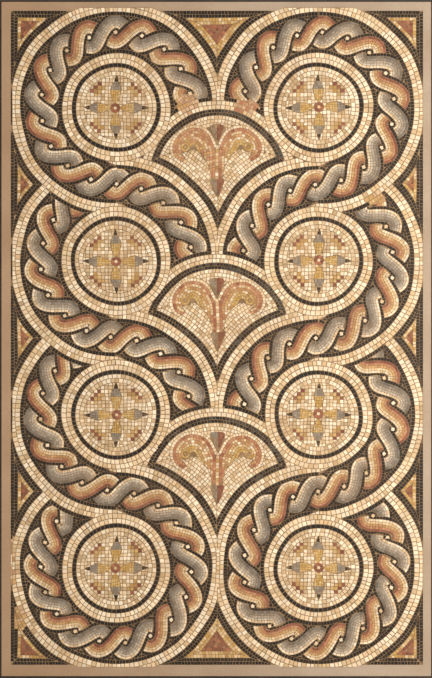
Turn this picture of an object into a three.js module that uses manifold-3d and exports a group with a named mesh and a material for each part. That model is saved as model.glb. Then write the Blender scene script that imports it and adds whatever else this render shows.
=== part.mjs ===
// A wall panel of lifted floor mosaic: a mortar slab in a thin steel edge frame, with cut stone
// set flush into a shallow pocket of its face. Two columns of four medallions are ringed by
// guilloche, with three fans between the columns and triangles along the edges.
// X runs across the panel, Z up it, and the face looks along -Y. The back is at Y = 0.

import * as THREE from 'three';
import { mergeVertices } from 'three/addons/utils/BufferGeometryUtils.js';
import Module from 'manifold-3d';

const wasm = await Module();
wasm.setup();

// Slab and edge frame, in millimetres.
const SLAB_WIDTH = 1074;
const SLAB_HEIGHT = 1686;
const SLAB_DEPTH = 48;
const BAR_THICKNESS = 5;

// The stone layer is set flush with the slab's rim, and a mortar joint parts each field.
const STONE_DEPTH = 8;
const JOINT = 1;
const FIELD = { left: -514, right: 517, bottom: -815, top: 821 };
const BULGE = { left: -514, right: 517, bottom: -821, top: 829 };

// Two columns of four medallions.
const ROWS = 4;
const COLUMN_PITCH = 507;
const COLUMN_CENTRE = 2.5;
const ROW_PITCH = 384;
const ROW_CENTRE = 3;
const COLUMNS = [
  { name: 'left', outward: -1 },
  { name: 'right', outward: 1 },
];

// Radii about each medallion's centre: its ground, black ring and white border, then the
// guilloche band and the white double fillet round it.
const GROUND_RADIUS = 102;
const RING_RADIUS = 111;
const BORDER_RADIUS = 136;
const GUILLOCHE_RADIUS = 240;
const CIRCLE_RADIUS = 265;

// Each fan is an arch whose top sits just below the centre line of the row that it starts in.
const FAN_TOP_DROP = 13;
const FAN_RADII = [165, 173, 178];
const FAN_LINE = 16;
const FAN_FILLET = 22;

// Two rows of black stone frame the fans and the edge triangles.
const BLACK_ROWS = 17;

// Segments of a full circle, for small and large radii.
const FINE_LIMIT = 150;
const SMALL_SEGMENTS = 26;
const LARGE_SEGMENTS = 40;

const HALF_JOINT = JOINT / 2;
const FACE = -SLAB_DEPTH;
const REACH = 4 * SLAB_DEPTH;

const limestone = { color: 0xe6cba6, roughness: 0.75 };
const basalt = { color: 0x3a2a20, roughness: 0.7 };
const strandStone = { color: 0xa98a68, roughness: 0.75 };
const fanStone = { color: 0xd0a079, roughness: 0.75 };
const ochreStone = { color: 0xb98a4e, roughness: 0.75 };
const mortar = { color: 0xc4a88c, roughness: 0.95 };
const steel = { color: 0x2a211b, roughness: 0.5, metalness: 0.8 };

// Turns a closed three.js geometry into a solid that can be cut and joined.
function solid(geometry) {
  geometry.deleteAttribute('normal');
  geometry.deleteAttribute('uv');
  const merged = mergeVertices(geometry);
  return new wasm.Manifold(new wasm.Mesh({
    numProp: 3,
    vertProperties: new Float32Array(merged.attributes.position.array),
    triVerts: new Uint32Array(merged.index.array),
  }));
}

// Turns a solid back into a three.js geometry.
function geometryOf(body) {
  const mesh = body.getMesh();
  const geometry = new THREE.BufferGeometry();
  geometry.setAttribute('position', new THREE.BufferAttribute(mesh.vertProperties, 3));
  geometry.setIndex(new THREE.BufferAttribute(mesh.triVerts, 1));
  geometry.computeVertexNormals();
  return geometry;
}

// A block between two corners of the XZ plane, from one depth to another.
function block(left, bottom, right, top, front = -REACH, back = REACH) {
  const geometry = new THREE.BoxGeometry(right - left, back - front, top - bottom);
  geometry.translate((left + right) / 2, (front + back) / 2, (bottom + top) / 2);
  return solid(geometry);
}

// A disc that runs right through the panel, used to draw round fields.
function disc(centre, radius) {
  const segments = radius < FINE_LIMIT ? SMALL_SEGMENTS : LARGE_SEGMENTS;
  const geometry = new THREE.CylinderGeometry(radius, radius, 2 * REACH, segments);
  geometry.translate(centre.x, 0, centre.z);
  return solid(geometry);
}

function annulus(centre, inner, outer) {
  return disc(centre, outer).subtract(disc(centre, inner));
}

const union = (bodies) => wasm.Manifold.union(bodies);
const without = (body, cutters) => body.subtract(union(cutters));

// Keeps the biggest connected body, and drops the slivers that a cut can leave beside it.
function largest(body) {
  const pieces = body.decompose();
  return pieces.reduce((best, piece) => (piece.volume() > best.volume() ? piece : best));
}

const stoneLayer = block(-SLAB_WIDTH, -SLAB_HEIGHT, SLAB_WIDTH, SLAB_HEIGHT, FACE, FACE + STONE_DEPTH);
const inlay = (region) => largest(region.intersect(stoneLayer));

const centreOf = (column, row) => ({
  x: COLUMN_CENTRE + column.outward * (COLUMN_PITCH / 2),
  z: ROW_CENTRE + ((ROWS - 1) / 2 - row) * ROW_PITCH,
});
const fanCentre = (row) => ({
  x: COLUMN_CENTRE,
  z: centreOf(COLUMNS[0], row).z - FAN_TOP_DROP - FAN_RADII[row],
});
const allCentres = COLUMNS.flatMap(
  (column) => Array.from({ length: ROWS }, (_, row) => centreOf(column, row)),
);

// The outline of the whole stone field: a rectangle, with the outer circles just past its
// straight edges. Positive growth makes it larger all round.
function fieldRegion(growth) {
  const box = (edges) => block(
    edges.left - growth, edges.bottom - growth, edges.right + growth, edges.top + growth,
  );
  const circles = union(allCentres.map((centre) => disc(centre, CIRCLE_RADIUS + growth)));
  return box(FIELD).add(circles.intersect(box(BULGE)));
}

// The half of a column's circles towards the panel's edge, or towards its middle. The halves
// share a hair's breadth, so that a band is one body across the centre line.
function halfPlane(column, isOuter) {
  const side = isOuter ? column.outward : -column.outward;
  const middle = centreOf(column, 0).x;
  const overlap = 0.25;
  return side < 0
    ? block(-SLAB_WIDTH, -SLAB_HEIGHT, middle + overlap, SLAB_HEIGHT)
    : block(middle - overlap, -SLAB_HEIGHT, SLAB_WIDTH, SLAB_HEIGHT);
}

// One half ring of guilloche. On the outer half the circle above lies over it; on the inner
// half the circle below and the fan do.
function halfRing(column, row, isOuter, growth) {
  const ring = annulus(
    centreOf(column, row), BORDER_RADIUS - growth, GUILLOCHE_RADIUS + growth,
  ).intersect(halfPlane(column, isOuter));
  const neighbour = isOuter ? row - 1 : row + 1;
  const cutters = [];
  if (neighbour >= 0 && neighbour < ROWS) {
    cutters.push(disc(centreOf(column, neighbour), CIRCLE_RADIUS - growth));
  }
  if (!isOuter && row < FAN_RADII.length) {
    const reach = FAN_RADII[row] + FAN_LINE / 2 + FAN_FILLET;
    cutters.push(disc(fanCentre(row), reach - growth));
  }
  return cutters.length ? without(ring, cutters) : ring;
}

// Three bands run down each column, from circle to circle. Each is a chain of half rings,
// given as the row and whether the half is the outer one.
const BAND_CHAINS = [
  [[0, false], [0, true], [1, false]],
  [[1, true], [2, false]],
  [[2, true], [3, false], [3, true]],
];
function guillocheRegion(column, chain, growth) {
  return union(chain.map(([row, isOuter]) => halfRing(column, row, isOuter, growth)));
}

// A fan is bounded above by its arch and below by the two circles of the next row.
function fanRegion(row, inset, growth) {
  const arch = disc(fanCentre(row), FAN_RADII[row] + FAN_LINE / 2 - inset + growth);
  const below = COLUMNS.map(
    (column) => disc(centreOf(column, row + 1), CIRCLE_RADIUS + inset - growth),
  );
  return without(arch, below);
}

// The triangles along the edges: what is left of the field outside the circles, set in from
// the field's edge and from the circles.
function spandrelRegion(inset, growth) {
  const set = inset - growth;
  const field = block(
    FIELD.left + set, FIELD.bottom + set, FIELD.right - set, FIELD.top - set,
  );
  return without(field, allCentres.map((centre) => disc(centre, CIRCLE_RADIUS + set)));
}

// The windows that hold one triangle each: four corners, three down each side, and one in
// the middle of the top and of the bottom.
function triangleWindows() {
  const windows = [];
  const level = (row) => centreOf(COLUMNS[0], row).z;
  const past = SLAB_HEIGHT;
  for (const column of COLUMNS) {
    const middle = centreOf(column, 0).x;
    const edge = column.outward * SLAB_WIDTH;
    const [left, right] = [Math.min(middle, edge), Math.max(middle, edge)];
    for (let row = 0; row <= ROWS; row += 1) {
      const top = row === 0 ? past : level(row - 1);
      const bottom = row === ROWS ? -past : level(row);
      const name = { 0: 'top', [ROWS]: 'bottom' }[row] ?? `side_${row}`;
      windows.push({ name: `${column.name}_${name}`, body: block(left, bottom, right, top) });
    }
  }
  const [left, right] = COLUMNS.map((column) => centreOf(column, 0).x);
  windows.push({ name: 'middle_top', body: block(left, level(0), right, past) });
  windows.push({ name: 'middle_bottom', body: block(left, -past, right, level(ROWS - 1)) });
  return windows;
}

const panel = new THREE.Group();
function addPiece(name, geometry, { color, roughness, metalness = 0 }) {
  const finish = new THREE.MeshStandardMaterial({ color, roughness, metalness, flatShading: true });
  const mesh = new THREE.Mesh(geometry, finish);
  mesh.name = name;
  panel.add(mesh);
  return mesh;
}

function addMortarBed() {
  const slab = block(
    -SLAB_WIDTH / 2, -SLAB_HEIGHT / 2, SLAB_WIDTH / 2, SLAB_HEIGHT / 2, FACE, 0,
  );
  const pocket = fieldRegion(0).intersect(
    block(-SLAB_WIDTH, -SLAB_HEIGHT, SLAB_WIDTH, SLAB_HEIGHT, -REACH, FACE + STONE_DEPTH),
  );
  addPiece('mortar_bed', geometryOf(slab.subtract(pocket)), mortar);
}

// A flat bar along one edge, mitred at both ends. The outline is drawn in XZ and extruded
// from the back of the slab to its face.
function mitredBar(corners) {
  const outline = new THREE.Shape(corners.map(([x, z]) => new THREE.Vector2(x, z)));
  const geometry = new THREE.ExtrudeGeometry(outline, { depth: SLAB_DEPTH, bevelEnabled: false });
  const position = geometry.attributes.position;
  for (let i = 0; i < position.count; i += 1) {
    position.setXYZ(i, position.getX(i), -position.getZ(i), position.getY(i));
  }
  geometry.computeVertexNormals();
  return geometry;
}

function addEdgeFrame() {
  const [x, z] = [SLAB_WIDTH / 2, SLAB_HEIGHT / 2];
  const [outerX, outerZ] = [x + BAR_THICKNESS, z + BAR_THICKNESS];
  const bars = {
    top: [[-outerX, outerZ], [-x, z], [x, z], [outerX, outerZ]],
    bottom: [[-outerX, -outerZ], [outerX, -outerZ], [x, -z], [-x, -z]],
    left: [[-outerX, outerZ], [-outerX, -outerZ], [-x, -z], [-x, z]],
    right: [[outerX, outerZ], [x, z], [x, -z], [outerX, -outerZ]],
  };
  for (const [side, corners] of Object.entries(bars)) {
    addPiece(`edge_bar_${side}`, mitredBar(corners), steel);
  }
}

// The ground, with its rosette, and the one-row black ring round it.
function addMedallions() {
  const origin = { x: 0, z: 0 };
  const ground = geometryOf(inlay(disc(origin, GROUND_RADIUS - HALF_JOINT)));
  const ring = geometryOf(
    inlay(annulus(origin, GROUND_RADIUS + HALF_JOINT, RING_RADIUS - HALF_JOINT)),
  );
  for (const column of COLUMNS) {
    for (let row = 0; row < ROWS; row += 1) {
      const { x, z } = centreOf(column, row);
      const place = `${column.name}_${row + 1}`;
      addPiece(`medallion_ground_${place}`, ground.clone(), limestone).position.set(x, 0, z);
      addPiece(`medallion_ring_${place}`, ring.clone(), basalt).position.set(x, 0, z);
    }
  }
}

function addGuilloche() {
  for (const column of COLUMNS) {
    BAND_CHAINS.forEach((chain, index) => {
      const band = inlay(guillocheRegion(column, chain, -HALF_JOINT));
      addPiece(`guilloche_${column.name}_${index + 1}`, geometryOf(band), strandStone);
    });
  }
}

function addFans() {
  FAN_RADII.forEach((_, row) => {
    const field = inlay(fanRegion(row, FAN_LINE, -HALF_JOINT));
    const frame = inlay(fanRegion(row, 0, -HALF_JOINT).subtract(fanRegion(row, FAN_LINE, HALF_JOINT)));
    addPiece(`fan_field_${row + 1}`, geometryOf(field), fanStone);
    addPiece(`fan_frame_${row + 1}`, geometryOf(frame), basalt);
  });
}

// The white double rows: round the medallions, round the big circles and over the fans. They
// all join, so they are one body.
function addWhiteFillets() {
  const circles = allCentres.map((centre) => disc(centre, CIRCLE_RADIUS - HALF_JOINT));
  const arches = FAN_RADII.map(
    (radius, row) => disc(fanCentre(row), radius + FAN_LINE / 2 + FAN_FILLET - HALF_JOINT),
  );
  const bands = COLUMNS.flatMap(
    (column) => BAND_CHAINS.map((chain) => guillocheRegion(column, chain, HALF_JOINT)),
  );
  const fans = FAN_RADII.map((_, row) => fanRegion(row, 0, HALF_JOINT));
  const medallions = allCentres.map((centre) => disc(centre, RING_RADIUS + HALF_JOINT));
  const region = union([...circles, ...arches]).intersect(fieldRegion(-HALF_JOINT));
  const fillets = inlay(without(region, [...bands, ...fans, ...medallions]));
  addPiece('white_fillets', geometryOf(fillets), limestone);
}

function addEdgeTriangles() {
  const whole = spandrelRegion(0, -HALF_JOINT);
  const centre = spandrelRegion(BLACK_ROWS, -HALF_JOINT);
  const hole = spandrelRegion(BLACK_ROWS, HALF_JOINT);
  for (const { name, body } of triangleWindows()) {
    const surround = inlay(whole.intersect(body).subtract(hole));
    const triangle = inlay(centre.intersect(body));
    addPiece(`triangle_surround_${name}`, geometryOf(surround), basalt);
    addPiece(`triangle_${name}`, geometryOf(triangle), ochreStone);
  }
}

addMortarBed();
addEdgeFrame();
addMedallions();
addWhiteFillets();
addGuilloche();
addFans();
addEdgeTriangles();

export default panel;
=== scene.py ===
"""A wall panel of lifted floor mosaic, stone by stone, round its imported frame."""

import math
import random

import bpy
import numpy as np
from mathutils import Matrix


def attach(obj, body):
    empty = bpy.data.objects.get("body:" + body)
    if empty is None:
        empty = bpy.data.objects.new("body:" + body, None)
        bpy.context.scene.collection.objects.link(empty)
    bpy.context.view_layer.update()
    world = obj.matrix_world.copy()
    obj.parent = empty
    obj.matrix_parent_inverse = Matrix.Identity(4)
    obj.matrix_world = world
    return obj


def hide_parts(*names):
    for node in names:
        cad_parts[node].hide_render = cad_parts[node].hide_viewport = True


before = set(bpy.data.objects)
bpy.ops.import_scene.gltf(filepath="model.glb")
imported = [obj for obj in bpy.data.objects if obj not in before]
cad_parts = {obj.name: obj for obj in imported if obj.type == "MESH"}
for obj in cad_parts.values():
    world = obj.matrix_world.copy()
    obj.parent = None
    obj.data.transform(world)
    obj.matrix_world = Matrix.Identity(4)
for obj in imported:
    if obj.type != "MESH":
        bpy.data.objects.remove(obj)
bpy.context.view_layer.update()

# Mortar slab. A cast slab of lime mortar carries the whole mosaic, and its rim shows as the
# plain margin. It is trowelled smooth while wet, so it is matt, sandy and faintly clouded.


def linear(colour):
    """An sRGB hex colour as linear red, green, blue and alpha."""
    parts = [int(colour[i : i + 2], 16) / 255 for i in (1, 3, 5)]
    return [c / 12.92 if c <= 0.04045 else ((c + 0.055) / 1.055) ** 2.4 for c in parts] + [1]


def add(tree, kind, inputs=(), **settings):
    """Adds a shader node with its settings, and sets or links its inputs."""
    made = tree.nodes.new("ShaderNode" + kind)
    for name, value in settings.items():
        setattr(made, name, value)
    for name, value in dict(inputs).items():
        if isinstance(value, bpy.types.NodeSocket):
            tree.links.new(value, made.inputs[name])
        else:
            made.inputs[name].default_value = value
    return made


def new_material(name):
    """A material with an empty node tree, and its object coordinates in metres."""
    material = bpy.data.materials.new(name)
    material.use_nodes = True
    material.node_tree.nodes.clear()
    place = add(material.node_tree, "TexCoord").outputs["Object"]
    return material, material.node_tree, place


def finish_material(tree, colour, roughness, height, depth):
    """Joins colour, roughness and relief (depth in metres) to the surface."""
    bump = add(tree, "Bump", {"Height": height, "Distance": depth, "Strength": 1.0})
    surface = add(
        tree,
        "BsdfPrincipled",
        {
            "Base Color": colour,
            "Roughness": roughness,
            "Normal": bump.outputs[0],
        },
    )
    add(tree, "OutputMaterial", {"Surface": surface.outputs[0]})


# Fine sand reads as grains of 1.5 mm, and the clouding as patches of about 120 mm.
lime_mortar, tree, place = new_material("lime mortar")
cloud = add(tree, "TexNoise", {"Vector": place, "Scale": 8.0, "Detail": 5.0})
sand = add(tree, "TexNoise", {"Vector": place, "Scale": 650.0, "Detail": 3.0})
across = add(tree, "SeparateXYZ", {"Vector": place})
# Painted shade: the mortar's colour runs darker and warmer towards the left of the panel,
# standing in for light that falls off from the right.
shade_to_left = add(
    tree,
    "MapRange",
    {"Value": across.outputs["X"], 1: -0.56, 2: 0.25, 3: 1.0, 4: 0.0},
    interpolation_type="SMOOTHSTEP",
)
painted_shade_tone = add(
    tree,
    "Mix",
    {0: shade_to_left.outputs[0], 6: linear("#bcaa97"), 7: linear("#b89a7c")},
    data_type="RGBA",
)
clouded = add(
    tree, "MapRange", {"Value": cloud.outputs[0], 1: 0.3, 2: 0.75, 3: 0.0, 4: 0.45}
)
soft = add(
    tree,
    "Mix",
    {0: clouded.outputs[0], 6: painted_shade_tone.outputs[2], 7: linear("#957559")},
    data_type="RGBA",
)
grains = add(tree, "MapRange", {"Value": sand.outputs[0], 1: 0.3, 2: 0.7, 3: 0.86, 4: 1.12})
sandy = add(
    tree,
    "VectorMath",
    {0: soft.outputs[2], 3: grains.outputs[0]},
    operation="SCALE",
)
matt = add(tree, "MapRange", {"Value": cloud.outputs[0], 3: 0.82, 4: 0.97})
finish_material(tree, sandy.outputs[0], matt.outputs[0], sand.outputs[0], 0.0004)
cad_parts["mortar_bed"].data.materials.clear()
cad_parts["mortar_bed"].data.materials.append(lime_mortar)

# Edge frame. Four flat steel bars hold the rim of the slab, mitred at the corners. They are
# painted dark brown, rubbed a little paler where hands and cloths have worn the paint.
painted_steel, tree, place = new_material("painted steel")
rub = add(tree, "TexNoise", {"Vector": place, "Scale": 22.0, "Detail": 6.0})
fleck = add(tree, "TexNoise", {"Vector": place, "Scale": 300.0, "Detail": 2.0})
worn = add(tree, "MapRange", {"Value": rub.outputs[0], 1: 0.45, 2: 0.8, 3: 0.0, 4: 0.6})
paint = add(
    tree,
    "Mix",
    {0: worn.outputs[0], 6: linear("#23170f"), 7: linear("#4b3624")},
    data_type="RGBA",
)
dull = add(tree, "MapRange", {"Value": rub.outputs[0], 3: 0.38, 4: 0.62})
finish_material(tree, paint.outputs[2], dull.outputs[0], fleck.outputs[0], 0.00008)
for side in ("top", "bottom", "left", "right"):
    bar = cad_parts[f"edge_bar_{side}"]
    bar.data.materials.clear()
    bar.data.materials.append(painted_steel)

# Joint mortar. The slab's pocket is filled with mortar to just below the stones, so that it
# shows in every joint. It has darkened with dirt more than the margin has.
MM = 0.001
FIELD = {"left": -514, "right": 517, "bottom": -815, "top": 821}
BULGE = {"bottom": -821, "top": 829}
MIDDLE = 2.5
COLUMNS = {"left": -1, "right": 1}
HALF_PITCH = 253.5
FIRST_ROW = 579
ROW_PITCH = 384
CIRCLE = 265
CENTRES = {
    side: [(MIDDLE + out * HALF_PITCH, FIRST_ROW - ROW_PITCH * row) for row in range(4)]
    for side, out in COLUMNS.items()
}
POCKET_FLOOR = -40.02
JOINT_FACE = -46.7


def edge_height(x, row, up):
    """How far up or down the field reaches at x, with its circles' bulge."""
    flat, limit = (FIELD["top"], BULGE["top"]) if up > 0 else (FIELD["bottom"], BULGE["bottom"])
    reach = [flat]
    for side in COLUMNS:
        cx, cz = CENTRES[side][row]
        if abs(x - cx) < CIRCLE:
            reach.append(cz + up * math.sqrt(CIRCLE**2 - (x - cx) ** 2))
    return min(limit, max(reach)) if up > 0 else max(limit, min(reach))


OUTLINE_STEPS = 260
xs = np.linspace(FIELD["left"], FIELD["right"], OUTLINE_STEPS)
outline = [(x, edge_height(x, 3, -1)) for x in xs]
outline += [(x, edge_height(x, 0, 1)) for x in xs[::-1]]
count = len(outline)
verts = [(x * MM, y * MM, z * MM) for y in (JOINT_FACE, POCKET_FLOOR) for x, z in outline]
half = count // 2
faces = []
for i in range(half - 1):
    a, b, c, d = i, i + 1, count - 2 - i, count - 1 - i
    faces += [(a, b, c, d), (a + count, d + count, c + count, b + count)]
faces += [
    (i, i + count, (i + 1) % count + count, (i + 1) % count) for i in range(count)
]
mesh = bpy.data.meshes.new("joint_mortar")
mesh.from_pydata(verts, [], faces)
joint_bed = bpy.data.objects.new("joint_mortar", mesh)
bpy.context.scene.collection.objects.link(joint_bed)

dirty_mortar, tree, place = new_material("joint mortar")
grime = add(tree, "TexNoise", {"Vector": place, "Scale": 30.0, "Detail": 6.0})
grit = add(tree, "TexNoise", {"Vector": place, "Scale": 500.0, "Detail": 3.0})
grimy = add(tree, "MapRange", {"Value": grime.outputs[0], 1: 0.35, 2: 0.7})
shade = add(
    tree,
    "Mix",
    {0: grimy.outputs[0], 6: linear("#a88b68"), 7: linear("#765d43")},
    data_type="RGBA",
)
matt = add(tree, "MapRange", {"Value": grit.outputs[0], 3: 0.85, 4: 1.0})
finish_material(tree, shade.outputs[2], matt.outputs[0], grit.outputs[0], 0.0005)
mesh.materials.append(dirty_mortar)
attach(joint_bed, "root")

# Medallions. Eight round fields lie in two columns, each a ground of pale limestone with a
# rosette of ochre, grey and black, in a one-row ring of basalt. Every stone is a hand-cut
# cube pressed into wet mortar, so that no two have quite the same size, tone or tilt.
STONE_FACE = -47.55
STONE_BACK = -40.5
CHAMFER = 0.5
LIFT = 0.22
TILT = 0.02
TOP = -47.98
WIDE_JOINT = 1.7
FINE_JOINT = 1.15
WOBBLE = 0.18

STONES = {
    "white": ["#fdecd0", "#f8e2c2", "#f3d9b6", "#f8e4c8", "#ecd0aa", "#e0c298"],
    "cream": ["#f8e6ca", "#efd8b6", "#fbead0", "#e4c9a4", "#d9bc94", "#ceb088"],
    "black": ["#160c05", "#20150c", "#120a04", "#291c12", "#1c1611", "#1a1919"],
    "smoke": ["#453c33", "#51483d", "#3a3733", "#484745", "#2b2017"],
    "taupe": ["#a1896d", "#94795c", "#ad967a"],
    "maroon": ["#8f553f", "#9c6049", "#854a37"],
    "red": ["#ac684b", "#b67453", "#a15f45"],
    "salmon": ["#c58a66", "#bd7f5b", "#cd9774"],
    "peach": ["#d6b08a", "#cba27c", "#dfbb98"],
    "tan": ["#cc9e68", "#c29361", "#d3a972"],
    "orange": ["#cd9b6a", "#c6905e", "#d7a776"],
    "ochre": ["#c89f62", "#d0a96e", "#bc9255", "#d6b47c"],
    "yellow": ["#d6ae68", "#cda255", "#dcbb80"],
    "pale": ["#e8cba0", "#e3c296", "#eed5ab"],
    "light grey": ["#cdbfac", "#c3b5a1", "#d6c8b4"],
    "grey": ["#b0a393", "#a59888", "#baad9c"],
    "mid grey": ["#978c7e", "#8c8275", "#a29789"],
    "dark grey": ["#7c746a", "#716a61", "#878076"],
}
DARK = {"black", "smoke"}
PALE = {"white", "cream", "pale"}
chance = random.Random(11)


def limestone_like(name, blend, blend_share, rough, gloss_change, depth):
    """A cut stone that takes its colour from the mesh, mottled and a little stained."""
    material, tree, place = new_material(name)
    own = add(tree, "Attribute", attribute_name="stone").outputs["Color"]
    mottle = add(tree, "TexNoise", {"Vector": place, "Scale": 420.0, "Detail": 4.0})
    patina = add(tree, "TexNoise", {"Vector": place, "Scale": 9.0, "Detail": 6.0})
    shade = add(
        tree, "MapRange", {"Value": mottle.outputs[0], 1: 0.3, 2: 0.7, 3: 0.88, 4: 1.08}
    )
    mottled = add(
        tree, "VectorMath", {0: own, 3: shade.outputs[0]}, operation="SCALE"
    )
    stained = add(
        tree,
        "MapRange",
        {"Value": patina.outputs[0], 1: 0.5, 2: 0.8, 3: 0.0, 4: blend_share},
    )
    toned = add(
        tree,
        "Mix",
        {0: stained.outputs[0], 6: mottled.outputs[0], 7: linear(blend)},
        data_type="RGBA",
    )
    polish = add(
        tree,
        "MapRange",
        {"Value": mottle.outputs[0], 3: rough - gloss_change, 4: rough + gloss_change},
    )
    finish_material(tree, toned.outputs[2], polish.outputs[0], mottle.outputs[0], depth)
    return material


# Pale limestone is worn satin, basalt keeps a low polish, and the coloured stones lie
# between.
MATERIALS = {
    "pale": limestone_like("white limestone", "#b98f62", 0.5, 0.6, 0.12, 0.00025),
    "dark": limestone_like("basalt", "#5e4a38", 0.3, 0.48, 0.12, 0.0002),
    "coloured": limestone_like("coloured limestone", "#a07a55", 0.35, 0.58, 0.12, 0.00022),
}
KINDS = list(MATERIALS)


def clip(poly, keep):
    """The part of a polygon where keep(x, z) is positive, or None."""
    values = [keep(x, z) for x, z in poly]
    if min(values) >= 0:
        return poly
    if max(values) <= 0:
        return None
    cut = []
    for i, (x, z) in enumerate(poly):
        j = (i + 1) % len(poly)
        here, there = values[i], values[j]
        if here >= 0:
            cut.append((x, z))
        if (here >= 0) != (there >= 0):
            t = here / (here - there)
            cut.append((x + (poly[j][0] - x) * t, z + (poly[j][1] - z) * t))
    return cut if len(cut) > 2 else None


def shrink(poly, by):
    """A convex polygon drawn in from every edge by the same width."""
    cut = poly
    for i, (ax, az) in enumerate(poly):
        bx, bz = poly[(i + 1) % len(poly)]
        ex, ez = bx - ax, bz - az
        length = math.hypot(ex, ez)
        if length < 1e-4:
            continue
        nx, nz = -ez / length, ex / length
        cut = clip(cut, lambda x, z: (x - ax) * nx + (z - az) * nz - by)
        if cut is None:
            return None
    return cut


def area_of(poly):
    """The area of a polygon, positive when it runs anticlockwise."""
    return 0.5 * sum(
        x * poly[(i + 1) % len(poly)][1] - poly[(i + 1) % len(poly)][0] * z
        for i, (x, z) in enumerate(poly)
    )


def outside(centre, radius):
    """A function that gives how far outside a circle a place is."""
    return lambda x, z: math.hypot(x - centre[0], z - centre[1]) - radius


def inside(centre, radius):
    """A function that gives how far inside a circle a place is."""
    return lambda x, z: radius - math.hypot(x - centre[0], z - centre[1])


# Patches relaid in plainer stone: their middles, half sizes and stones.
PATCHES = [
    ((-72, 588), (30, 24), ["tan", "peach", "peach"]),
    ((74, 583), (36, 15), ["peach", "salmon"]),
    ((-492, -697), (17, 36), ["tan", "ochre", "peach"]),
    ((-508, -560), (12, 60), ["tan", "peach", "cream"]),
    ((394, 351), (32, 14), ["ochre", "tan", "peach"]),
]


def set_stone(stones, corners, colour, keeps=(), joint=FINE_JOINT, least=9.0):
    """Cuts a stone to its place, leaves room for the joint and adds it if enough is left."""
    wobble = WOBBLE * joint
    poly = [
        (x + chance.uniform(-wobble, wobble), z + chance.uniform(-wobble, wobble))
        for x, z in corners
    ]
    if area_of(poly) < 0:
        poly.reverse()
    for keep in keeps:
        poly = clip(poly, keep)
        if poly is None:
            return
    poly = shrink(poly, joint / 2)
    if poly is None or area_of(poly) < least:
        return
    x, z = (sum(p[i] for p in poly) / len(poly) for i in (0, 1))
    for (px, pz), (half_x, half_z), kinds in PATCHES:
        if ((x - px) / half_x) ** 2 + ((z - pz) / half_z) ** 2 < chance.uniform(0.75, 1.15):
            colour = chance.choice(kinds)
    stones.append((poly, colour))


def curve(points):
    """A path, as its points and its left-hand normals."""
    points = np.array(points, float)
    along = np.gradient(points, axis=0)
    along /= np.linalg.norm(along, axis=1)[:, None]
    return points, np.stack([-along[:, 1], along[:, 0]], 1)


def arc(centre, radius, start=0.0, end=360.0):
    """A path round a circle between two angles in degrees, either way round."""
    steps = max(24, int(abs(end - start) * radius / 240))
    angles = np.radians(np.linspace(start, end, steps + 1))
    out = np.stack([np.cos(angles), np.sin(angles)], 1)
    return np.array(centre) + radius * out, out * (-1 if end > start else 1)


def cuts_along(path, offset, pitch):
    """Where a row's joints fall, counted in points along its path."""
    points = path[0] + path[1] * offset
    length = np.concatenate([[0], np.cumsum(np.linalg.norm(np.diff(points, axis=0), axis=1))])
    count = max(1, round(length[-1] / pitch))
    widths = [chance.uniform(0.82, 1.18) for _ in range(count)]
    joints = np.concatenate([[0], np.cumsum(widths)]) / sum(widths) * length[-1]
    return np.interp(joints, length, np.arange(len(points)))


def row_of(path, low, high, pitch, cuts=None):
    """The four corners of each stone in a row that runs between two offsets of a path."""
    if cuts is None:
        cuts = cuts_along(path, (low + high) / 2, pitch)
    whole = np.arange(len(path[0]))
    a, b = (
        np.stack([np.interp(cuts, whole, (path[0] + path[1] * at)[:, i]) for i in (0, 1)], 1)
        for at in (low, high)
    )
    return [
        (tuple(a[i]), tuple(a[i + 1]), tuple(b[i + 1]), tuple(b[i]))
        for i in range(len(cuts) - 1)
    ]


def ring_row(centre, low, high, pitch):
    """The stones of one round row between two radii."""
    return row_of(arc(centre, high), 0, high - low, pitch)


DRIFT = 1.3


def drift(x, z):
    """How far hand laying strays from the drawn line, fading out at the field's edge."""
    edge = min(
        x - FIELD["left"], FIELD["right"] - x, z - FIELD["bottom"], FIELD["top"] - z
    )
    size = DRIFT * min(1.0, max(0.0, edge / 30))
    return (
        x + size * (math.sin(x / 31 + z / 23) * 0.6 + math.sin(z / 47 - x / 61 + 1.3)),
        z + size * (math.sin(z / 29 - x / 37 + 2.1) * 0.6 + math.sin(x / 53 + z / 67)),
    )


def stone_colour(kind):
    """One stone's own colour, from the stones of its kind."""
    base = linear(chance.choice(STONES[kind]))
    light = chance.uniform(0.88, 1.1)
    warmth = chance.uniform(-0.03, 0.03)
    return [base[0] * light * (1 + warmth), base[1] * light, base[2] * light * (1 - warmth), 1]


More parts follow.
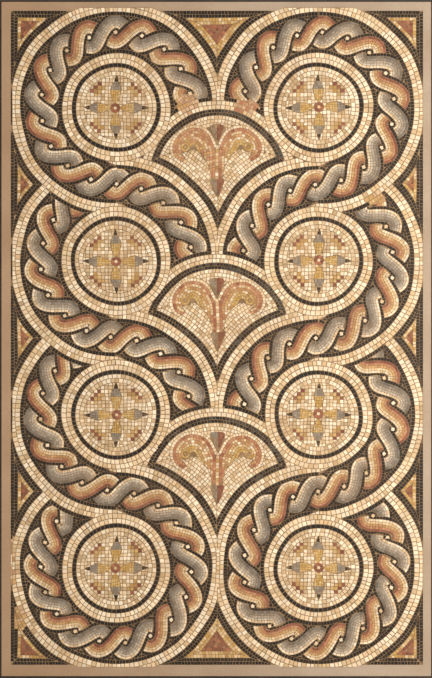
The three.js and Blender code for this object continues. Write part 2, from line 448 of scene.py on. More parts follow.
def build(name, stones, slot, *nodes):
    """Makes one piece of separate closed stones, each a prism with a chamfered face."""
    verts, faces, kinds, tints, places = [], [], [], [], []
    for poly, kind in stones:
        poly = [drift(x, z) for x, z in poly]
        n, base = len(poly), len(verts)
        cx, cz = sum(p[0] for p in poly) / n, sum(p[1] for p in poly) / n
        size = sum(math.hypot(x - cx, z - cz) for x, z in poly) / n
        lift = STONE_FACE + chance.uniform(-LIFT, LIFT)
        lean_x, lean_z = chance.uniform(-TILT, TILT), chance.uniform(-TILT, TILT)
        inner = 1 - CHAMFER * 1.5 / size
        for scale, drop in ((1, None), (1, CHAMFER), (inner, 0)):
            for x, z in poly:
                px, pz = cx + (x - cx) * scale, cz + (z - cz) * scale
                y = lift + lean_x * (px - cx) + lean_z * (pz - cz)
                y = STONE_BACK if drop is None else max(TOP, y + drop)
                verts.append((px * MM, y * MM, pz * MM))
        rings = [list(range(base + n * i, base + n * (i + 1))) for i in range(3)]
        made = [rings[0][::-1], rings[2]]
        for lower, upper in ((rings[0], rings[1]), (rings[1], rings[2])):
            made += [
                [lower[i], lower[(i + 1) % n], upper[(i + 1) % n], upper[i]]
                for i in range(n)
            ]
        faces += made
        group = "dark" if kind in DARK else "pale" if kind in PALE else "coloured"
        kinds += [KINDS.index(group)] * len(made)
        tints += stone_colour(kind) * sum(len(f) for f in made)
    mesh = bpy.data.meshes.new(name)
    mesh.from_pydata(verts, [], faces)
    for key in KINDS:
        mesh.materials.append(MATERIALS[key])
    mesh.polygons.foreach_set("material_index", kinds)
    own = mesh.color_attributes.new("stone", "FLOAT_COLOR", "CORNER")
    own.data.foreach_set("color", tints)
    # A front-on map, named OFBake, lays each stone out flat where it lies in the panel.
    flat = np.array(verts)[:, [0, 2]]
    low, span = flat.min(0), np.ptp(flat, axis=0)
    corners = np.zeros(len(mesh.loops), np.int32)
    mesh.loops.foreach_get("vertex_index", corners)
    layer = mesh.uv_layers.new(name="OFBake")
    layer.uv.foreach_set("vector", ((flat[corners] - low) / span).astype(np.float32).ravel())
    piece = bpy.data.objects.new(name, mesh)
    bpy.context.scene.collection.objects.link(piece)
    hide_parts(*nodes)
    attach(piece, "root")


GROUND = 101.5
GROUND_ROWS = [(81, 91.5), (91.5, GROUND)]
GROUND_JOINT = 1.4
RING = 111.5
GRID = 9.2
GRID_HALF = 9
GRID_WOBBLE = 1.1
HEART = 13
EYE_JOINT = 0.9
# Half the width of a rosette bud at each distance from the medallion's centre.
BUD = [(11, 4.5), (30, 10), (44, 14.5), (50, 14), (60, 9), (66, 4.5), (72, 4), (81, 1.2)]
BUD_START = 11.0
BUD_COLOURS = [(46, "yellow"), (66, "mid grey"), (82, "black")]
BUD_END = BUD_COLOURS[-1][0]
BUD_ROW = 5.6
OCHRE_CELLS = {(4, 4), (4, 5), (5, 4), (3, 5), (5, 3)}
RED_CELLS = {(4, 6), (5, 5), (6, 4)}


def bud_gap(dx, dz):
    """How far a point is clear of the nearest bud's edge."""
    along, off = max(abs(dx), abs(dz)), min(abs(dx), abs(dz))
    within = BUD_START < along < BUD_END
    return off - (float(np.interp(along, *zip(*BUD))) if within else -1.0)


def lay_medallion(centre):
    """The stones of one medallion's ground and of the ring round it."""
    cx, cz = centre
    stones = []
    for low, high in GROUND_ROWS:
        for corners in ring_row(centre, low, high, 9.8):
            set_stone(stones, corners, "cream", joint=GROUND_JOINT)
    clear = lambda x, z: bud_gap(x - cx, z - cz)
    bud = lambda x, z: -clear(x, z)
    inner = inside(centre, GROUND_ROWS[0][0])
    past_heart = outside(centre, HEART)
    knots = {
        (i, j): (
            cx + i * GRID + chance.uniform(-GRID_WOBBLE, GRID_WOBBLE),
            cz + j * GRID + chance.uniform(-GRID_WOBBLE, GRID_WOBBLE),
        )
        for i in range(-GRID_HALF, GRID_HALF + 1)
        for j in range(-GRID_HALF, GRID_HALF + 1)
    }
    for i in range(-GRID_HALF, GRID_HALF):
        for j in range(-GRID_HALF, GRID_HALF):
            corners = [knots[i + a, j + b] for a, b in ((0, 0), (1, 0), (1, 1), (0, 1))]
            cell = (int(abs(i + 0.5)), int(abs(j + 0.5)))
            kind = "maroon" if cell in RED_CELLS else "ochre" if cell in OCHRE_CELLS else "cream"
            set_stone(stones, corners, kind, (inner, clear, past_heart), GROUND_JOINT)
    # The buds point along the axes, in rows of finer stone that run outward.
    for turn in range(4):
        ux, uz = ((1, 0), (0, 1), (-1, 0), (0, -1))[turn]
        for column in range(-3, 3):
            low, high = column * BUD_ROW, (column + 1) * BUD_ROW
            at = BUD_START
            while at < BUD_END:
                limit, kind = next(band for band in BUD_COLOURS if at < band[0])
                end = min(at + chance.uniform(6.5, 8.5), limit)
                if limit - end < 3:
                    end = limit
                corners = [
                    (cx + ux * a - uz * b, cz + uz * a + ux * b)
                    for a, b in ((at, low), (end, low), (end, high), (at, high))
                ]
                set_stone(stones, corners, kind, (bud, past_heart), EYE_JOINT, 4.0)
                at = end
    for corners in ring_row(centre, 4.2, HEART + 0.2, 8.2):
        set_stone(stones, corners, chance.choice(["maroon", "red", "maroon"]), joint=EYE_JOINT)
    heart = [
        (cx + 4.6 * math.cos(a), cz + 4.6 * math.sin(a))
        for a in (math.pi / 6 * k for k in range(0, 12, 2))
    ]
    set_stone(stones, heart, "white", joint=0.4)
    ring = []
    for corners in ring_row(centre, GROUND, RING, 11.0):
        set_stone(ring, corners, "black", joint=1.2)
    return stones, ring


for side, centres in CENTRES.items():
    for row, centre in enumerate(centres):
        stones, ring = lay_medallion(centre)
        here = f"{side}_{row + 1}"
        build(f"medallion_ground_stones_{here}", stones, "limestone", f"medallion_ground_{here}")
        build(f"medallion_ring_stones_{here}", ring, "basalt", f"medallion_ring_{here}")

# White double rows. Two rows of the palest limestone ring every medallion and every big
# circle, and run over the fans. The stones are larger here, 11 mm from joint to joint.
WHITE_PITCH = 11.0
BORDER = 136
RING_ROWS = [(RING, 123.5), (123.5, BORDER)]
CIRCLE_MIDDLE = 252.5
CIRCLE_ROWS = [(239.5, CIRCLE_MIDDLE), (CIRCLE_MIDDLE, CIRCLE)]
FAN_RADII = [165, 173, 178]
FAN_DROP = 13
FAN_CENTRES = [
    (MIDDLE, FIRST_ROW - ROW_PITCH * row - FAN_DROP - r) for row, r in enumerate(FAN_RADII)
]
FAN_EDGE = 8
FILLET_ROWS = [(FAN_EDGE, FAN_EDGE + 11), (FAN_EDGE + 11, FAN_EDGE + 22)]
FAN_REACH = [radius + FILLET_ROWS[1][1] for radius in FAN_RADII]
STRIP = (-2, 7)
STRIP_HALF = 48
STRIP_ROW = (-9, 9)
TAPER = 28
TAPER_SLOPE = 3
EDGE_LINE = 3.4
EDGE_LINE_HALF = 75


def in_field(x, z):
    """How far inside the stone field a point is, counting the bulge of the circles."""
    return min(x - FIELD["left"], FIELD["right"] - x, z - BULGE["bottom"], BULGE["top"] - z)


def taper(centre, way):
    """Where a big circle's rows run out against a medallion's border, past its centre line."""
    past = outside(centre, BORDER)
    return lambda x, z: TAPER - (x - centre[0]) * way - TAPER_SLOPE * past(x, z)


def middle_of(corners):
    """The middle of a stone's four corners."""
    return sum(x for x, _ in corners) / 4, sum(z for _, z in corners) / 4


def white_mix():
    """A stone for the white rows, now and then a yellower one."""
    return chance.choices(["white", "cream", "pale"], [8, 2, 0.4])[0]


white = []
for side, out in COLUMNS.items():
    for row, centre in enumerate(CENTRES[side]):
        for low, high in RING_ROWS:
            for corners in ring_row(centre, low, high, WHITE_PITCH):
                set_stone(white, corners, white_mix(), joint=WIDE_JOINT)
        for number, (low, high) in enumerate(CIRCLE_ROWS):
            for corners in ring_row(centre, low, high, WHITE_PITCH):
                mx, mz = middle_of(corners)
                outer = (mx - centre[0]) * out > 0
                keeps = [in_field, lambda x, z: x - FIELD["left"] - EDGE_LINE]
                if row > 0:
                    above = CENTRES[side][row - 1]
                    ending = outer and mz > centre[1] and abs(mx - centre[0]) < TAPER
                    keeps.append(outside(above, CIRCLE if outer and not ending else BORDER))
                    if ending:
                        keeps.append(taper(above, out))
                if row < 3:
                    below = CENTRES[side][row + 1]
                    ending = not outer and mz < centre[1] and abs(mx - centre[0]) < TAPER
                    keeps.append(outside(below, BORDER if outer or ending else CIRCLE))
                    if ending:
                        keeps.append(taper(below, -out))
                if row < 3 and not outer:
                    keeps.append(outside(FAN_CENTRES[row], FAN_REACH[row]))
                if not outer:
                    wall = STRIP[0] if side == "left" else STRIP[1]
                    near = abs(mz - centre[1]) < STRIP_HALF
                    limit = MIDDLE if number or not near else wall
                    if number and near:
                        continue
                    keeps.append(lambda x, z: (limit - x) * -out)
                set_stone(white, corners, white_mix(), keeps, WIDE_JOINT)
# A thin line of dark stone parts the left circles from the margin.
for row, (cx, cz) in enumerate(CENTRES["left"]):
    line = curve([(FIELD["left"], cz + EDGE_LINE_HALF - 2 * i) for i in range(76)])
    for corners in row_of(line, 0, EDGE_LINE, 8.0):
        set_stone(white, corners, "black", [inside((cx, cz), CIRCLE)], 0.7, 5.0)
# Where two circles meet, the double rows close up to three, and the middle one is shared.
for row in range(4):
    left, right = CENTRES["left"][row], CENTRES["right"][row]
    keeps = [
        lambda x, z: max(x - STRIP[0], outside(left, CIRCLE_MIDDLE)(x, z)),
        lambda x, z: max(STRIP[1] - x, outside(right, CIRCLE_MIDDLE)(x, z)),
    ]
    if row < 3:
        keeps.append(outside(FAN_CENTRES[row], FAN_REACH[row]))
    spine = curve([(MIDDLE, left[1] - STRIP_HALF + i) for i in range(2 * STRIP_HALF + 1)])
    for corners in row_of(spine, *STRIP_ROW, 10.5):
        set_stone(white, corners, white_mix(), keeps, WIDE_JOINT)
for row, (centre, radius) in enumerate(zip(FAN_CENTRES, FAN_RADII)):
    below = [outside(CENTRES[side][row + 1], CIRCLE) for side in COLUMNS]
    beside = [outside(CENTRES[side][row], BORDER) for side in COLUMNS]
    for low, high in FILLET_ROWS:
        for corners in row_of(arc(centre, radius, 180, 0), low, high, WHITE_PITCH):
            set_stone(white, corners, white_mix(), below + beside, WIDE_JOINT)
build("white_fillet_stones", white, "limestone", "white_fillets")

# Guilloche. Two strands of shaded stone plait round the medallions and pass from each circle
# to the next. A red strand runs from white through ochre to red, a grey one from white to
# dark grey, each edged with a row of basalt, with a white eye in every gap.
GUILLOCHE = (BORDER, 240)
MID_RADIUS = 188.5
SHIFT = 3.5
SHIFT_SPAN = 25
# How many degrees a band runs before and after its crossing, by the row where it crosses.
LEGS = [(300, 125), (170, 125), (170, 352)]
EYE_PITCH = 65.8
CLOSER = 2.3
LAST_REACH = 100
EYE = 6.4
EYE_RING = (5.0, 12.5)
SWING = 26.6
STRAND = 30.4
OUTLINE = 7.4
RIB = 7.6
EDGE_ROW = 9.5
BLACK_ROW = 7.0
STRAND_ROWS = {
    "red": [
        (6.2, "white"),
        (6.0, "pale"),
        (6.2, "tan"),
        (6.0, "salmon"),
        (6.0, "maroon"),
    ],
    "grey": [
        (6.2, "white"),
        (6.0, "light grey"),
        (6.2, "grey"),
        (6.0, "mid grey"),
        (6.0, "dark grey"),
    ],
}
# For each band: its half circles (row, outer half), the row where it crosses over, how far
# its eye lies past that crossing, the strand just after that eye, its white edge's side, and
# how many eyes past the crossing the rest were laid a little closer.
NEVER = 99
BANDS = {
    "left": [
        ([(0, 0), (0, 1), (1, 0)], 0, 0.0, "red", 1, NEVER),
        ([(1, 1), (2, 0)], 1, -12.0, "red", -1, NEVER),
        ([(2, 1), (3, 0), (3, 1)], 2, -21.0, "grey", 1, 10),
    ],
    "right": [
        ([(0, 0), (0, 1), (1, 0)], 0, 7.6, "red", -1, NEVER),
        ([(1, 1), (2, 0)], 1, 7.6, "red", 1, NEVER),
        ([(2, 1), (3, 0), (3, 1)], 2, 2.0, "grey", -1, 6),
    ],
}


def band_path(side, turn, before, after):
    """The band's centre line through its crossing, over so many degrees on each side."""
    out = COLUMNS[side]
    points = []
    for centre, first, span in (
        (CENTRES[side][turn], -90, before),
        (CENTRES[side][turn + 1], 90, after),
    ):
        leg = []
        for i in range(int(span * 2) + 1):
            step = i / 2
            radius = MID_RADIUS + SHIFT * math.exp(-((step / SHIFT_SPAN) ** 2))
            # The upper leg lies on the outer side of its circle, the lower on the inner.
            angle = math.radians(first + (step if out < 0 else -step) * -1)
            leg.append(
                (centre[0] + radius * math.cos(angle), centre[1] + radius * math.sin(angle))
            )
        points.append(leg)
    return points[0][::-1] + points[1][1:]


def half_ring_keeps(side, row, outer):
    """What bounds the guilloche ground in one half of a circle."""
    out = COLUMNS[side]
    centre = CENTRES[side][row]
    keeps = [outside(centre, GUILLOCHE[0]), inside(centre, GUILLOCHE[1])]
    if outer and row > 0:
        keeps.append(outside(CENTRES[side][row - 1], CIRCLE))
    if not outer and row < 3:
        keeps.append(outside(CENTRES[side][row + 1], CIRCLE))
        keeps.append(outside(FAN_CENTRES[row], FAN_REACH[row]))
    if row < 3 if outer else row > 0:
        end = taper(centre, out if outer else -out)
        up = 1 if outer else -1
        keeps.append(lambda x, z: max(-end(x, z), (z - centre[1]) * up))
    return keeps


def distance_to(points):
    """A function that gives how far a place is from a line of points."""
    line = np.array(points)

    def far(x, z):
        return math.sqrt(((line - (x, z)) ** 2).sum(1).min())

    return far


def lay_band(side, halves, turn, past, first_colour, edge, closing):
    """The stones of one guilloche band: strands, then eyes, then the black ground."""
    out = COLUMNS[side]
    stones = []
    points = np.array(band_path(side, turn, *LEGS[turn]))
    steps = np.linalg.norm(np.diff(points, axis=0), axis=1)
    length = np.concatenate([[0], np.cumsum(steps)])
    crossing = length[LEGS[turn][0] * 2]
    normals = curve(points)[1]

    def at(s, v):
        p = [np.interp(s, length, points[:, i]) for i in (0, 1)]
        n = [np.interp(s, length, normals[:, i]) for i in (0, 1)]
        return p[0] + n[0] * v, p[1] + n[1] * v

    def zone(x, z):
        """The bounds of the half circle that a place lies in, or None outside the band."""
        best = None
        for row, outer in halves:
            cx, cz = CENTRES[side][row]
            if ((x - cx) * out > 0) != bool(outer):
                continue
            keeps = half_ring_keeps(side, row, outer)
            depth = min(k(x, z) for k in keeps)
            if best is None or depth > best[0]:
                best = (depth, keeps)
        return best[1] if best and best[0] > -8 else None

    first = crossing + past
    last = length[-1] - (LAST_REACH if turn == 2 else 0)
    numbers = range(math.floor(-first / EYE_PITCH), math.ceil(last / EYE_PITCH) + 1)
    eyes = [
        (number, first + number * EYE_PITCH - CLOSER * max(0, number - closing))
        for number in numbers
    ]
    eyes = [(number, s) for number, s in eyes if 0 < s < last]

    strands = []
    for number, s in eyes:
        middle = s + EYE_PITCH / 2
        colour = first_colour
        if number % 2:
            colour = "grey" if first_colour == "red" else "red"
        reach = np.arange(-EYE_PITCH, EYE_PITCH + 0.1, EYE_PITCH / 48)
        line = [at(middle + t, SWING * math.sin(math.pi * t / EYE_PITCH)) for t in reach]
        quarter = len(reach) // 4
        part = line[quarter : -quarter]
        if turn == 2 and s > last - 2 * EYE_PITCH:
            # The last strands run out against the rows of the circle above.
            line, part = (
                [p for p in some if math.dist(p, CENTRES[side][turn]) > CIRCLE - 12]
                for some in (line, part)
            )
        strands.append((colour, line, part))
    everywhere = distance_to([p for _, line, _ in strands for p in line])
    over = [distance_to(part) for _, _, part in strands]

    def bounded(corners):
        """The bounds at a stone, drawn in by the black row along them."""
        keeps = zone(*middle_of(corners))
        return keeps and [lambda x, z, k=k: k(x, z) - EDGE_ROW for k in keeps]

    eye_places = [at(s, 0) for _, s in eyes]
    from_eyes = distance_to(eye_places)
    free = lambda x, z: everywhere(x, z) - STRAND / 2 - OUTLINE
    for index, (colour, line, part) in enumerate(strands):
        path = curve(line)
        near = [over[i] for i in (index - 1, index + 1) if 0 <= i < len(strands)]
        own = over[index]
        rows, low = [], -STRAND / 2
        for width, kind in STRAND_ROWS[colour][:: -edge]:
            rows.append((low, low + width, kind))
            low += width
        rows.append((-STRAND / 2 - OUTLINE, -STRAND / 2, "black"))
        rows.append((STRAND / 2, STRAND / 2 + OUTLINE, "black"))
        ribs = cuts_along(path, 0, RIB)
        for low, high, kind in rows:
            quads = row_of(path, low, high, RIB, None if kind == "black" else ribs)
            for place, corners in enumerate(quads):
                keeps = bounded(corners)
                if keeps is None:
                    continue
                share = (place + 0.5) / len(quads) * len(line) / len(reach)
                on_top = 0.25 < share < 0.75
                for other in near:
                    if not on_top:
                        keeps.append(lambda x, z, o=other: o(x, z) - STRAND / 2 - OUTLINE)
                    elif kind == "black":
                        keeps.append(lambda x, z, o=other: o(x, z) - own(x, z))
                if kind == "black":
                    keeps.append(lambda x, z: from_eyes(x, z) - EYE_RING[0])
                set_stone(stones, corners, kind, keeps, EYE_JOINT, 7.0)
    # The eyes, and black stone round them in what the strands leave open.
    for x, z in eye_places:
        keeps = zone(x, z)
        if keeps is None or min(k(x, z) for k in keeps) < EDGE_ROW + 3:
            continue
        turn_by = chance.uniform(0, math.pi / 2)
        eye = [
            (x + EYE * math.cos(turn_by + a), z + EYE * math.sin(turn_by + a))
            for a in (0, math.pi / 2, math.pi, math.pi * 1.5)
        ]
        set_stone(stones, eye, "white", joint=EYE_JOINT)
        for corners in ring_row((x, z), *EYE_RING, BLACK_ROW):
            keeps = bounded(corners)
            if keeps is not None:
                set_stone(stones, corners, "black", keeps + [free], least=5.0)
    # One row of black along every bound of the ground, then more in the gaps.
    for row, outer in halves:
        centre = CENTRES[side][row]
        bounds = [(arc(centre, GUILLOCHE[0], 360, 0), 0), (arc(centre, GUILLOCHE[1]), 1)]
        if outer and row > 0:
            bounds.append((arc(CENTRES[side][row - 1], CIRCLE, 360, 0), 2))
        if not outer and row < 3:
            bounds.append((arc(CENTRES[side][row + 1], CIRCLE, 360, 0), 2))
            bounds.append((arc(FAN_CENTRES[row], FAN_REACH[row], 360, 0), 3))
        keeps = half_ring_keeps(side, row, outer)
        middle = lambda x, z: (x - centre[0]) * out * (1 if outer else -1)
        for path, which in bounds:
            others = [
                lambda x, z, k=k, w=which: k(x, z) - keeps[w](x, z)
                for i, k in enumerate(keeps)
                if i != which
            ]
            for level in range(5):
                low = EDGE_ROW + (level - 1) * BLACK_ROW if level else 0
                high = EDGE_ROW + level * BLACK_ROW
                clear = [free, lambda x, z: from_eyes(x, z) - EYE_RING[1]] if level else []
                for corners in row_of(path, low, high, 8.0):
                    set_stone(stones, corners, "black", [middle] + others + clear, least=5.0)
    return stones


for side, bands in BANDS.items():
    for index, band in enumerate(bands):
        stones = lay_band(side, *band)
        here = f"{side}_{index + 1}"
        build(f"guilloche_stones_{here}", stones, "strand_stones", f"guilloche_{here}")

# Fans. Three fan-shaped fields fill the spaces between the columns. Two rows of basalt frame
# each, then rows of white follow the frame in to a palmette: two curled leaves of salmon
# and ochre on a stem, with a wedge of grey and maroon above and another below.
FRAME = 16.4
FRAME_BANDS = [(0, FRAME / 2), (FRAME / 2, FRAME)]
WHITE_BANDS = [(16.4 + 9.4 * i, 25.8 + 9.4 * i) for i in range(10)]
# One leaf, as offsets outward from the fan's axis and up from the row's centre line.
LEAF_BACK = [(4.2, -179), (4.2, -150), (4.2, -124), (5.5, -106), (12, -90), (22, -71)]
LEAF_BACK += [(36, -58), (57, -52), (79, -55), (99, -70), (110, -89), (111, -107)]
LEAF_BACK += [(104, -124), (91, -133), (76, -134)]
LEAF_FRONT = [(77, -127), (84, -122), (90, -115), (91, -108), (84, -112), (75, -112)]
LEAF_FRONT += [(67, -106), (58, -104), (48, -111), (34, -123), (22, -142), (15, -162)]
LEAF_FRONT += [(13, -179)]
LEAF_ROW = 7.0
LEAF_ROWS = 6
LEAF_CORE = (80, -99)
LEAF_RINGS = [(0.5, 6), (6, 12), (12, 19), (19, 26), (26, 33)]
LEAF_TIP = 8
LEAF_LINE = 7.6
STEM = 4.2
STEM_ENDS = (-95, -180)
# Each wedge's top, tip and half width.
WEDGES = [(-44, -95, 21), (-179, -231, 20)]
# The stones of a leaf's rows, in from its back. The first fan's left leaf is the paler one.
LEAF_ROWS_PALE = [
    ["salmon", "orange"],
    ["orange", "salmon", "peach"],
    ["tan", "pale", "salmon"],
    ["ochre", "pale", "peach"],
    ["ochre", "salmon"],
    ["ochre", "yellow"],
]
LEAF_ROWS_RED = [
    ["red", "salmon", "salmon"],
    ["salmon", "orange", "pale"],
    ["orange", "tan", "white"],
    ["ochre", "pale", "white"],
    ["ochre", "yellow"],
    ["yellow"],
]


def smooth(points, steps=6):
    """A rounded line through points."""
    p = np.array([points[0], *points, points[-1]], float)
    t = np.linspace(0, 1, steps, endpoint=False)[:, None]
    parts = []
    for a, b, c, d in zip(p, p[1:], p[2:], p[3:]):
        bend, twist = 2 * a - 5 * b + 4 * c - d, 3 * b - a - 3 * c + d
        parts.append(0.5 * (2 * b + (c - a) * t + bend * t**2 + twist * t**3))
    return np.concatenate([*parts, p[-1:]])


def shape(points):
    """A function that gives how far inside a closed outline a place is."""
    a = np.array(points, float)
    b = np.roll(a, -1, axis=0)
    side = b - a
    size = (side**2).sum(1) + 1e-9

    def gap(x, z):
        along = np.clip(((np.array((x, z)) - a) * side).sum(1) / size, 0, 1)[:, None]
        near = math.sqrt((((a + side * along) - (x, z)) ** 2).sum(1).min())
        crossed = (a[:, 1] > z) != (b[:, 1] > z)
        at = a[:, 0] + (z - a[:, 1]) * side[:, 0] / np.where(side[:, 1] == 0, 1, side[:, 1])
        return near if (crossed & (x < at)).sum() % 2 else -near

    return gap


def fill_between(stones, bounds, bands, keeps=(), joint=FINE_JOINT, pitch=8.0):
    """Lays rows in from each bound, mitred where two bounds are equally near."""
    for which, (path, gap) in enumerate(bounds):
        rest = [
            lambda x, z, g=g: g(x, z) - gap(x, z)
            for i, (_, g) in enumerate(bounds)
            if i != which
        ]
        for low, high, kind in bands:
            for corners in row_of(path, low, high, pitch):
                x, z = middle_of(corners)
                if all(keep(x, z) > -9 for keep in (*keeps, *rest)):
                    set_stone(stones, corners, kind(x, z), [*keeps, *rest], joint, 8.0)


def lay_fan(row):
    """The stones of one fan's field and of the frame round it."""
    field, frame_rows = [], []
    level = CENTRES["left"][row][1]
    radius = FAN_RADII[row] + FAN_EDGE
    below = [CENTRES[side][row + 1] for side in COLUMNS]
    bounds = [(arc(FAN_CENTRES[row], radius, 0, 180), inside(FAN_CENTRES[row], radius))]
    bounds += [(arc(c, CIRCLE, 360, 0), outside(c, CIRCLE)) for c in below]
    within = [gap for _, gap in bounds]
    # The right half of each arch was mended in greyer, dustier basalt.
    black = lambda x, z: (
        "smoke"
        if x > MIDDLE + 10 and z > level - 125 and chance.random() < 0.75
        else chance.choice(["black", "black", "black", "smoke"])
    )
    fill_between(frame_rows, bounds, [(a, b, black) for a, b in FRAME_BANDS], within)
    inner = [lambda x, z, g=g: g(x, z) - FRAME for g in within]

    # Two wedges, each in six rows that close up to a point, grey on one side of the axis.
    wedge_shapes = []
    for top, tip, half in WEDGES:
        left, right = MIDDLE - half, MIDDLE + half
        wedge = shape([(left, level + top), (MIDDLE, level + tip), (right, level + top)])
        wedge_shapes.append(wedge)
        for part in range(-3, 3):
            z = top
            while z > tip + 5:
                low = z - chance.uniform(7, 9)
                corners = [
                    (MIDDLE + rib / 3 * (half * (h - tip) / (top - tip)), level + h)
                    for rib, h in ((part, low), (part + 1, low), (part + 1, z), (part, z))
                ]
                kind = chance.choice(["taupe", "taupe", "mid grey"] if part < 0 else ["maroon"])
                set_stone(field, corners, kind, [*inner, wedge], 0.8, 4.0)
                z = low
    spine = curve([(MIDDLE, level + STEM_ENDS[0] - i) for i in range(85)])
    for corners in row_of(spine, -STEM, STEM, 8.5):
        kind = chance.choice(["white", "pale", "ochre", "peach"])
        set_stone(field, corners, kind, inner, EYE_JOINT)

    # Two leaves that rise from the stem and curl outward, in rows that follow their backs.
    leaves, backs = [], []
    for mirror in (-1, 1):
        place = lambda points: [(MIDDLE + mirror * u, level + w) for u, w in points]
        back = smooth(place(LEAF_BACK))
        leaf = shape(list(back) + list(smooth(place(LEAF_FRONT))))
        from_back = distance_to(back)
        lined = distance_to(back[:-LEAF_TIP])
        leaves.append(leaf)
        backs.append(lined)
        path = curve(back)
        core = place([LEAF_CORE])[0]
        for low, high in LEAF_RINGS:
            keeps = [*inner, leaf]
            if low >= LEAF_RINGS[1][1]:
                keeps.append(lambda x, z: from_back(x, z) - LEAF_ROWS * LEAF_ROW)
            for corners in ring_row(core, low, high, 6.5):
                kind = chance.choice(["yellow", "yellow", "ochre"])
                set_stone(field, corners, kind, keeps, EYE_JOINT, 4.0)
        choices = LEAF_ROWS_PALE if row == 0 and mirror < 0 else LEAF_ROWS_RED
        for step in range(LEAF_ROWS):
            low, high = step * LEAF_ROW, (step + 1) * LEAF_ROW
            deep = lambda x, z: from_back(x, z) - low + 0.4
            keeps = [*inner, leaf, outside(core, LEAF_RINGS[1][1])] + ([deep] if step else [])
            for corners in row_of(path, low * -mirror, high * -mirror, 7.4):
                set_stone(field, corners, chance.choice(choices[step]), keeps, 1.0, 6.0)
        around = [*inner, lambda x, z: -leaf(x, z), lambda x, z: LEAF_LINE + 0.1 - lined(x, z)]
        around += [lambda x, z, w=w: -w(x, z) for w in wedge_shapes]
        around.append(lambda x, z: (x - MIDDLE) * mirror - (0 if z > level - 92 else STEM))
        for corners in row_of(path, 0, LEAF_LINE * mirror, 8.0):
            set_stone(field, corners, "white", around, 1.2, 8.0)

    def ground(x, z):
        """How clear a place is of leaves, their white lines, wedges and stem."""
        top, foot = (level + end for end in STEM_ENDS)
        return min(
            min(-g(x, z) for g in (*leaves, *wedge_shapes)),
            min(back(x, z) - LEAF_LINE for back in backs),
            max(abs(x - MIDDLE) - STEM, z - top, foot - z),
        )

    pale = lambda x, z: chance.choices(["white", "cream", "pale"], [7, 3, 0.6])[0]
    fill_between(
        field, bounds, [(a, b, pale) for a, b in WHITE_BANDS], [*within, ground], 1.4, 9.0
    )
    return field, frame_rows


for row in range(3):
    field, frame_rows = lay_fan(row)
    build(f"fan_stones_{row + 1}", field, "fan_stones", f"fan_field_{row + 1}")
    build(f"fan_frame_stones_{row + 1}", frame_rows, "basalt", f"fan_frame_{row + 1}")

# Edge triangles. The corners that the circles leave along the field's edge hold small
# triangles: a red heart in a border of ochre, set in two rows of basalt.
SURROUND = 17
BLACK_BANDS = [(0, 8.5), (8.5, SURROUND)]
TRIANGLE_ROW = 8


def straight(start, end):
    """A straight bound, with the field on its left."""
    steps = max(2, int(math.dist(start, end) / 4))
    points = [
        (start[0] + (end[0] - start[0]) * t / steps, start[1] + (end[1] - start[1]) * t / steps)
        for t in range(steps + 1)
    ]
    path = curve(points)
    (ax, az), (nx, nz) = points[0], path[1][0]
    return path, lambda x, z: (x - ax) * nx + (z - az) * nz


def corner(side, level):
    return FIELD[side], FIELD[level]


EDGES = {
    "left": straight(corner("left", "top"), corner("left", "bottom")),
    "right": straight(corner("right", "bottom"), corner("right", "top")),
    "bottom": straight(corner("left", "bottom"), corner("right", "bottom")),
    "top": straight(corner("right", "top"), corner("left", "top")),
}


def lay_triangle(edges, circles, window):
    """The stones of one triangle and of its black surround, inside a window."""
    hearts, surround = [], []
    bounds = [EDGES[edge] for edge in edges]
    bounds += [(arc(c, CIRCLE, 360, 0), outside(c, CIRCLE)) for c in circles]
    borders = 2 if edges in (["top"], ["bottom"]) else 1
    left, low, right, top = window
    keeps = [lambda x, z: min(x - left, right - x, z - low, top - z)]
    keeps += [gap for _, gap in bounds]
    black = lambda x, z: "black"
    fill_between(surround, bounds, [(a, b, black) for a, b in BLACK_BANDS], keeps)
    ochre = lambda x, z: chance.choice(["yellow", "ochre", "pale", "ochre"])
    red = lambda x, z: chance.choice(["maroon", "red", "maroon"])
    bands = [
        (
            SURROUND + TRIANGLE_ROW * i,
            SURROUND + TRIANGLE_ROW * (i + 1),
            ochre if i < borders else red,
        )
        for i in range(8)
    ]
    fill_between(hearts, bounds, bands, keeps, joint=1.0)
    return hearts, surround


for side, out in COLUMNS.items():
    edge_x, mid_x = FIELD[side], CENTRES[side][0][0]
    span = (min(edge_x, mid_x), max(edge_x, mid_x))
    for number in range(5):
        top = FIELD["top"] if number == 0 else CENTRES[side][number - 1][1]
        low = FIELD["bottom"] if number == 4 else CENTRES[side][number][1]
        edges = [side] + {0: ["top"], 4: ["bottom"]}.get(number, [])
        circles = CENTRES[side][max(0, number - 1) : number + 1]
        hearts, surround = lay_triangle(edges, circles, (span[0], low, span[1], top))
        here = f"{side}_" + {0: "top", 4: "bottom"}.get(number, f"side_{number}")
        build(f"triangle_stones_{here}", hearts, "ochre_stones", f"triangle_{here}")
        build(f"triangle_surround_stones_{here}", surround, "basalt", f"triangle_surround_{here}")
for edge, row in (("top", 0), ("bottom", 3)):
    circles = [CENTRES[side][row] for side in COLUMNS]
    low, top = sorted((circles[0][1], FIELD[edge]))
    window = (circles[0][0], low, circles[1][0], top)
    hearts, surround = lay_triangle([edge], circles, window)
    build(f"triangle_stones_middle_{edge}", hearts, "ochre_stones", f"triangle_middle_{edge}")
    build(
        f"triangle_surround_stones_middle_{edge}",
        surround,
        "basalt",
        f"triangle_surround_middle_{edge}",
    )

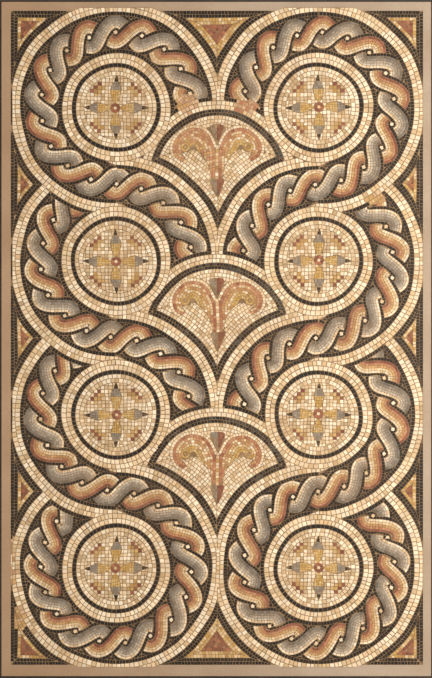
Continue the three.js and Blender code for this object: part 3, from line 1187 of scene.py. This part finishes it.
# Stage, light and camera. The panel hangs just clear of a plain pale floor, in soft light
# from the right, seen square on through a long lens.
FLOOR_LEVEL = -0.8485
FLOOR_HALF = 6
floor_mesh = bpy.data.meshes.new("floor")
floor_mesh.from_pydata(
    [
        (x * FLOOR_HALF, y * FLOOR_HALF, FLOOR_LEVEL)
        for x, y in ((-1, -1), (1, -1), (1, 1), (-1, 1))
    ],
    [],
    [(0, 1, 2, 3)],
)
floor = bpy.data.objects.new("floor", floor_mesh)
bpy.context.scene.collection.objects.link(floor)
plaster, tree, place = new_material("pale plaster floor")
mist = add(tree, "TexNoise", {"Vector": place, "Scale": 3.0, "Detail": 4.0})
pale = add(
    tree,
    "Mix",
    {0: mist.outputs[0], 6: linear("#d9d6d0"), 7: linear("#cfccc5")},
    data_type="RGBA",
)
finish_material(tree, pale.outputs[2], 0.8, mist.outputs[0], 0.0005)
floor_mesh.materials.append(plaster)


def lamp(name, place, size, power, colour):
    """A soft square light that faces the middle of the panel."""
    light = bpy.data.lights.new(name, "AREA")
    light.size, light.energy, light.color = size, power, linear(colour)[:3]
    holder = bpy.data.objects.new(name, light)
    holder.location = place
    away = np.array(place)
    holder.rotation_euler = (
        math.acos(away[2] / np.linalg.norm(away)),
        0,
        math.atan2(away[1], away[0]) + math.pi / 2,
    )
    bpy.context.scene.collection.objects.link(holder)


lamp("key_light", (2.3, -2.4, 0.3), 1.4, 102, "#fff6ea")
lamp("fill_light", (-2.6, -3.4, -0.6), 2.0, 32, "#fff4e6")
lamp("back_light", (-1.5, 3.5, 2.2), 2.0, 90, "#fff8f0")
world = bpy.data.worlds.new("studio")
bpy.context.scene.world = world
world.use_nodes = True
world.node_tree.nodes["Background"].inputs["Color"].default_value = linear("#f4efe8")
world.node_tree.nodes["Background"].inputs["Strength"].default_value = 0.36

camera_data = bpy.data.cameras.new("camera")
camera_data.lens = 127.4
camera_data.clip_end = 50
camera = bpy.data.objects.new("camera", camera_data)
camera.location = (-0.0007, -6.048, 0)
camera.rotation_euler = (math.pi / 2, 0, 0)
bpy.context.scene.collection.objects.link(camera)
bpy.context.scene.camera = camera
bpy.context.scene.view_settings.view_transform = "Standard"
